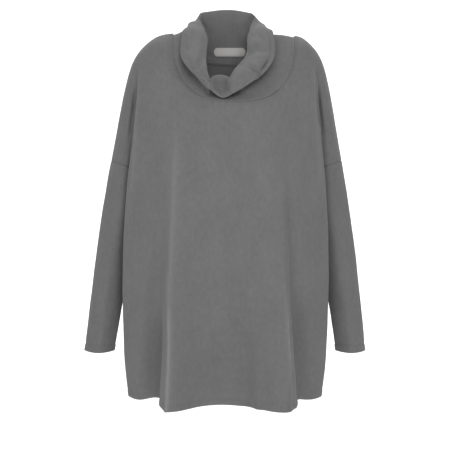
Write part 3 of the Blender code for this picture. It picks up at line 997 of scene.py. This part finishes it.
def fleece(name, colour, dark, highlight_colour, nap_depth):
    """Brushed fleece, softly mottled, with a short nap and a painted highlight on crisp folds."""
    material = empty_material(name)
    tree = material.node_tree
    place = add(tree, "ShaderNodeTexCoord").outputs["Object"]
    lie = add(tree, "ShaderNodeMapping", {"Vector": place, "Scale": BRUSHED}).outputs["Vector"]
    cloudy = add(tree, "ShaderNodeTexNoise", {"Vector": lie, "Scale": per_metre(CLOUDS), "Detail": 3.0,
                                              "Roughness": 0.55}).outputs["Fac"]
    mottle = add(tree, "ShaderNodeTexNoise", {"Vector": lie, "Scale": per_metre(TUFTS), "Detail": 4.0,
                                              "Roughness": 0.65}).outputs["Fac"]
    fibre = add(tree, "ShaderNodeTexNoise", {"Vector": lie, "Scale": per_metre(FIBRES), "Detail": 3.0,
                                             "Roughness": 0.7}).outputs["Fac"]
    blend = add(tree, "ShaderNodeMix", {"Factor": TUFTS_OVER_CLOUDS, "A": cloudy, "B": mottle},
                data_type="FLOAT").outputs["Result"]
    speck = add(tree, "ShaderNodeMix", {"Factor": FIBRES_OVER_TUFTS, "A": blend, "B": fibre},
                data_type="FLOAT").outputs["Result"]
    spread = add(tree, "ShaderNodeMapRange", {"Value": speck, "From Min": SPREAD[0],
                                              "From Max": SPREAD[1]}).outputs["Result"]
    shade = add(tree, "ShaderNodeMix", {"Factor": spread, "A": linear(dark), "B": linear(colour)},
                data_type="RGBA").outputs["Result"]
    # Painted highlight: the colour is lighter along crisp folds, standing in for the light on their crests.
    highlight_share = add(tree, "ShaderNodeAttribute", attribute_name=PAINTED_HIGHLIGHT).outputs["Fac"]
    lit = add(tree, "ShaderNodeMix", {"Factor": highlight_share, "A": shade, "B": linear(highlight_colour)},
              data_type="RGBA").outputs["Result"]
    soft = add(tree, "ShaderNodeBump", {"Strength": 0.5, "Distance": TUFT_DEPTH * MM,
                                        "Height": mottle}).outputs["Normal"]
    nap = add(tree, "ShaderNodeBump", {"Strength": 0.6, "Distance": nap_depth * MM, "Height": fibre,
                                       "Normal": soft}).outputs["Normal"]
    body = add(tree, "ShaderNodeBsdfPrincipled", {"Base Color": lit, "Normal": nap, "Roughness": 0.95,
                                                  "Sheen Weight": 0.12, "Sheen Roughness": 0.6,
                                                  "Specular IOR Level": 0.15})
    add(tree, "ShaderNodeOutputMaterial", {"Surface": body.outputs["BSDF"]})
    return material


# 7e7e7e is the colour of the painted highlight on crisp folds.
grey_fleece = fleece("grey brushed fleece", "#6c6c6c", "#5e5e5e", "#7e7e7e", 0.30)
print(grey_fleece.name, "has", len(grey_fleece.node_tree.nodes), "nodes")

# %% [markdown]
# The sewing thread is spun polyester, twisted, with a slight gloss, and a shade lighter than the
# darkest nap. The label is a woven tape, matt and cream. Both are too fine for a woven pattern of
# their own at this size, so one wave of light and dark stands for the twist or the weave. Real
# twist and weave repeat about every 0.3 mm. They are drawn about a millimetre wide, as coarse as
# they need to be to show close up.

# %% Thread and tape
WAVES_PER_UNIT = 20 / (2 * math.pi)
SHADOW = 0.86
WEAVE_DEPTH = 0.1


def plain_cloth(name, colour, band_mm, roughness):
    """A tape or thread: one colour with a fine weave."""
    material = empty_material(name)
    tree = material.node_tree
    shadow = [channel * SHADOW for channel in linear(colour)[:3]] + [1.0]
    place = add(tree, "ShaderNodeTexCoord").outputs["Object"]
    weave = add(tree, "ShaderNodeTexWave", {"Vector": place, "Scale": per_metre(band_mm) / WAVES_PER_UNIT,
                                            "Distortion": 0.6}, bands_direction="X").outputs["Fac"]
    shade = add(tree, "ShaderNodeMix", {"Factor": weave, "A": shadow, "B": linear(colour)},
                data_type="RGBA").outputs["Result"]
    rise = add(tree, "ShaderNodeBump", {"Strength": 0.4, "Distance": WEAVE_DEPTH * MM,
                                        "Height": weave}).outputs["Normal"]
    body = add(tree, "ShaderNodeBsdfPrincipled", {"Base Color": shade, "Normal": rise,
                                                  "Roughness": roughness, "Specular IOR Level": 0.25})
    add(tree, "ShaderNodeOutputMaterial", {"Surface": body.outputs["BSDF"]})
    return material


grey_thread = plain_cloth("grey polyester thread", "#6a6a6a", 0.986, 0.7)
cream_tape = plain_cloth("cream woven tape", "#bfbdba", 1.184, 0.8)
tape_thread = plain_cloth("cream thread", "#a8a39a", 0.986, 0.7)

for piece in pieces.values():
    piece.data.materials.clear()
    piece.data.materials.append(grey_fleece)
for name, piece in sewing.items():
    piece.data.materials.append(tape_thread if name.startswith("neck_label") else grey_thread)
label_tape.data.materials.append(cream_tape)
print("materials:", ", ".join(material.name for material in bpy.data.materials))

# %% [markdown]
# Nothing on a jumper turns on a joint, so every piece rides on the one body. Each cloth piece and
# the label stand for their own solid. The stitches have no solid of their own and are extra.

# %% Riding and replacing
for name, piece in pieces.items():
    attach(piece, "root")
    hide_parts(name)
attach(label_tape, "root")
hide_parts("neck_label")
for name, piece in sewing.items():
    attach(piece, "root")
print(len(pieces) + 1, "pieces replace a solid, and", len(sewing), "rows of stitches are extra")

# %% [markdown]
# A tailor knows a piece of cloth by its size before sewing: width by length in metres, all round
# for the tubes, and its area, less what the neck, the shoulders and the sloping sides cut away. It
# is estimated from such a jumper's cut and compared with the area of the finished sheet, which
# should be nearly the same, because cloth hardly stretches.

# %% Flat sizes
FLAT = {
    "front_panel": ((0.76, 0.80), 0.47),
    "back_panel": ((0.72, 0.82), 0.45),
    "sleeve_left": ((0.235, 0.40), 0.088),
    "sleeve_right": ((0.235, 0.40), 0.088),
    "collar": ((0.62, 0.22), 0.11),
}
for name, (flat, area) in FLAT.items():
    finished = sum(polygon.area for polygon in pieces[name].data.polygons)
    print(name, "is cut from", area, "square metres, and its sheet has", round(finished, 3))

# %% [markdown]
# The stage is a sweep of white paper: a floor that curves up into a backdrop, so that no corner
# shows behind the jumper. A box would have edges. One edge is extruded along the floor, spun up
# through a quarter turn, and extruded again.

# %% Paper sweep
FLOOR_BELOW = 0.45
HALF_WIDTH = 8.0
FLOOR_FRONT = -6.0
CURVE_START = 3.0
CURVE_RADIUS = 2.0
BACKDROP_RISE = 5.0


def drawn_out(mesh, edge, shift):
    """Extrude one edge by a shift, and give the new edge."""
    made = bmesh.ops.extrude_edge_only(mesh, edges=[edge])["geom"]
    corners = [item for item in made if isinstance(item, bmesh.types.BMVert)]
    bmesh.ops.translate(mesh, verts=corners, vec=shift)
    return next(item for item in made
                if isinstance(item, bmesh.types.BMEdge) and all(v in corners for v in item.verts))


def seamless():
    """A wide sweep of paper under and behind the jumper."""
    mesh = bmesh.new()
    level = cad_low[2] - FLOOR_BELOW
    front = mesh.edges.new([mesh.verts.new((x, FLOOR_FRONT, level)) for x in (-HALF_WIDTH, HALF_WIDTH)])
    bend = drawn_out(mesh, front, (0, CURVE_START - FLOOR_FRONT, 0))
    made = bmesh.ops.spin(mesh, geom=[bend, *bend.verts], axis=(1, 0, 0), angle=math.pi / 2, steps=12,
                          cent=(0, CURVE_START, level + CURVE_RADIUS))
    top = next(item for item in made["geom_last"] if isinstance(item, bmesh.types.BMEdge))
    drawn_out(mesh, top, (0, 0, BACKDROP_RISE))
    bmesh.ops.recalc_face_normals(mesh, faces=mesh.faces)
    data = bpy.data.meshes.new("studio_floor")
    mesh.to_mesh(data)
    mesh.free()
    data.shade_smooth()
    sweep = bpy.data.objects.new("studio_floor", data)
    bpy.context.scene.collection.objects.link(sweep)
    return sweep


floor = seamless()
paper = empty_material("white studio paper")
matt = add(paper.node_tree, "ShaderNodeBsdfPrincipled", {"Base Color": linear("#f4f4f4"), "Roughness": 0.9})
add(paper.node_tree, "ShaderNodeOutputMaterial", {"Surface": matt.outputs["BSDF"]})
floor.data.materials.append(paper)
print("the floor is", round(FLOOR_BELOW, 2), "m below the hem")

# %% [markdown]
# The photograph has soft studio light from the front, a little stronger from above, and a
# background that is washed to white. Large area lights give such soft shadows, where a sun or a
# spot would draw hard ones. The key and the fill aim at the middle of the jumper, the wash lights
# the backdrop alone, and a grey world fills what is left in the shadows.

# %% Lights
AIM = (0.0, 0.0, -0.397)
WORLD_STRENGTH = 0.46


def softbox(name, place, target, size, power):
    """A rectangular area light that aims at a point."""
    lamp = bpy.data.lights.new(name, "AREA")
    lamp.shape = "RECTANGLE"
    lamp.size, lamp.size_y = size
    lamp.energy = power
    made = bpy.data.objects.new(name, lamp)
    made.location = place
    made.rotation_euler = (Vector(target) - Vector(place)).to_track_quat("-Z", "Y").to_euler()
    bpy.context.scene.collection.objects.link(made)
    print(name, "is", size[0], "m wide, with", power, "W")


softbox("key", (0.4, -3.2, 1.1), AIM, (1.4, 1.4), 58)
softbox("fill", (-1.2, -3.2, 0.4), AIM, (1.6, 1.6), 20)
softbox("top", (0.0, -0.4, 2.6), AIM, (1.6, 1.2), 6)
softbox("backdrop_wash", (0.0, 2.2, 3.0), (0.0, 4.6, -0.4), (4.0, 1.0), 200)

world = bpy.data.worlds.new("studio")
world.use_nodes = True
world.node_tree.nodes["Background"].inputs["Color"].default_value = (1, 1, 1, 1)
world.node_tree.nodes["Background"].inputs["Strength"].default_value = WORLD_STRENGTH
bpy.context.scene.world = world

# %% [markdown]
# The photograph was taken with a long lens, straight from the front and seven degrees above the
# middle, as the curves of hem and collar show. From three metres away the sides converge as little
# as they do there. The Standard view keeps the greys as they are, where a film-like one would
# flatten them.

# %% Camera
CAMERA_ELEVATION = math.radians(7.0)
CAMERA_DISTANCE = 3.0
FOCAL_LENGTH = 114.0
SENSOR_WIDTH = 36.0

lens = bpy.data.cameras.new("camera")
lens.lens = FOCAL_LENGTH
lens.sensor_width = SENSOR_WIDTH
camera = bpy.data.objects.new("camera", lens)
towards_camera = Vector((0, -math.cos(CAMERA_ELEVATION), math.sin(CAMERA_ELEVATION)))
camera.location = Vector(AIM) + CAMERA_DISTANCE * towards_camera
camera.rotation_euler = (Vector(AIM) - camera.location).to_track_quat("-Z", "Y").to_euler()
bpy.context.scene.collection.objects.link(camera)
bpy.context.scene.camera = camera
bpy.context.scene.view_settings.view_transform = "Standard"
print("the camera is at", [round(value, 3) for value in camera.location])

# %% [markdown]
# The last cell prints the box round the imported solids. The dressing adds folds and no size, so
# what was made should differ from it by a millimetre or so.

# %% Measures and finish
print("cad", [round(v, 4) for v in (*cad_low, *cad_high)])
